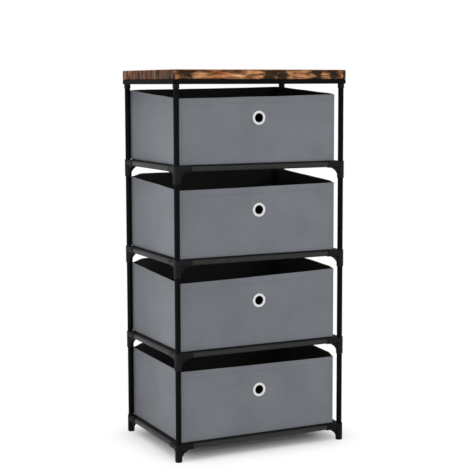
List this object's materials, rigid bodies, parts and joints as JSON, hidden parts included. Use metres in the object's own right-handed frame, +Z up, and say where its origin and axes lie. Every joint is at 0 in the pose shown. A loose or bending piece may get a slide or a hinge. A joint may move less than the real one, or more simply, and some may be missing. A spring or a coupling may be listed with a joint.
{
  "type": "fabric drawer dresser",
  "caption": "Tall free-standing dresser: black tube frame with plastic corner connectors, wood-look top board and open grey fabric drawers with metal eyelets that slide out.",
  "frame": {"origin": "on the floor, under the middle of the top board", "axes": "+Z up, the drawers face -Y, +X is to the right seen from the front"},
  "size_m": [0.553, 0.393, 1.115],
  "materials": {
    "wood_board": "satin",
    "black_steel": "satin",
    "black_plastic": "satin",
    "black_panel": "matte",
    "grey_fabric": "matte",
    "insert_board": "matte",
    "eyelet_metal": "polished"
  },
  "bodies": {
    "frame": {"top_board": "wood_board", "top_frame": "black_steel", "post_front_left": "black_steel", "post_collar_front_left": "black_plastic", "post_front_right": "black_steel", "post_collar_front_right": "black_plastic", "post_rear_right": "black_steel", "post_collar_rear_right": "black_plastic", "post_rear_left": "black_steel", "post_collar_rear_left": "black_plastic", "foot_connector_front_left": "black_plastic", "foot_connector_front_right": "black_plastic", "foot_connector_rear_right": "black_plastic", "foot_connector_rear_left": "black_plastic", "rail_1_front": "black_steel", "rail_1_back": "black_steel", "rail_1_left": "black_steel", "rail_1_right": "black_steel", "shelf_panel_1": "black_panel", "connector_2_front_left": "black_plastic", "connector_2_front_right": "black_plastic", "connector_2_rear_right": "black_plastic", "connector_2_rear_left": "black_plastic", "rail_2_front": "black_steel", "rail_2_back": "black_steel", "rail_2_left": "black_steel", "rail_2_right": "black_steel", "shelf_panel_2": "black_panel", "connector_3_front_left": "black_plastic", "connector_3_front_right": "black_plastic", "connector_3_rear_right": "black_plastic", "connector_3_rear_left": "black_plastic", "rail_3_front": "black_steel", "rail_3_back": "black_steel", "rail_3_left": "black_steel", "rail_3_right": "black_steel", "shelf_panel_3": "black_panel", "connector_4_front_left": "black_plastic", "connector_4_front_right": "black_plastic", "connector_4_rear_right": "black_plastic", "connector_4_rear_left": "black_plastic", "rail_4_front": "black_steel", "rail_4_back": "black_steel", "rail_4_left": "black_steel", "rail_4_right": "black_steel", "shelf_panel_4": "black_panel"},
    "drawer_1": {"drawer_1_fabric_bin": "grey_fabric", "drawer_1_base_board": "insert_board", "drawer_1_eyelet": "eyelet_metal"},
    "drawer_2": {"drawer_2_fabric_bin": "grey_fabric", "drawer_2_base_board": "insert_board", "drawer_2_eyelet": "eyelet_metal"},
    "drawer_3": {"drawer_3_fabric_bin": "grey_fabric", "drawer_3_base_board": "insert_board", "drawer_3_eyelet": "eyelet_metal"},
    "drawer_4": {"drawer_4_fabric_bin": "grey_fabric", "drawer_4_base_board": "insert_board", "drawer_4_eyelet": "eyelet_metal"}
  },
  "joints": [
    {"name": "drawer_1_slide", "type": "slide", "parent": "frame", "child": "drawer_1", "axis": [0, -1, 0], "range_m": [0, 0.3]},
    {"name": "drawer_2_slide", "type": "slide", "parent": "frame", "child": "drawer_2", "axis": [0, -1, 0], "range_m": [0, 0.3]},
    {"name": "drawer_3_slide", "type": "slide", "parent": "frame", "child": "drawer_3", "axis": [0, -1, 0], "range_m": [0, 0.3]},
    {"name": "drawer_4_slide", "type": "slide", "parent": "frame", "child": "drawer_4", "axis": [0, -1, 0], "range_m": [0, 0.3]}
  ]
}
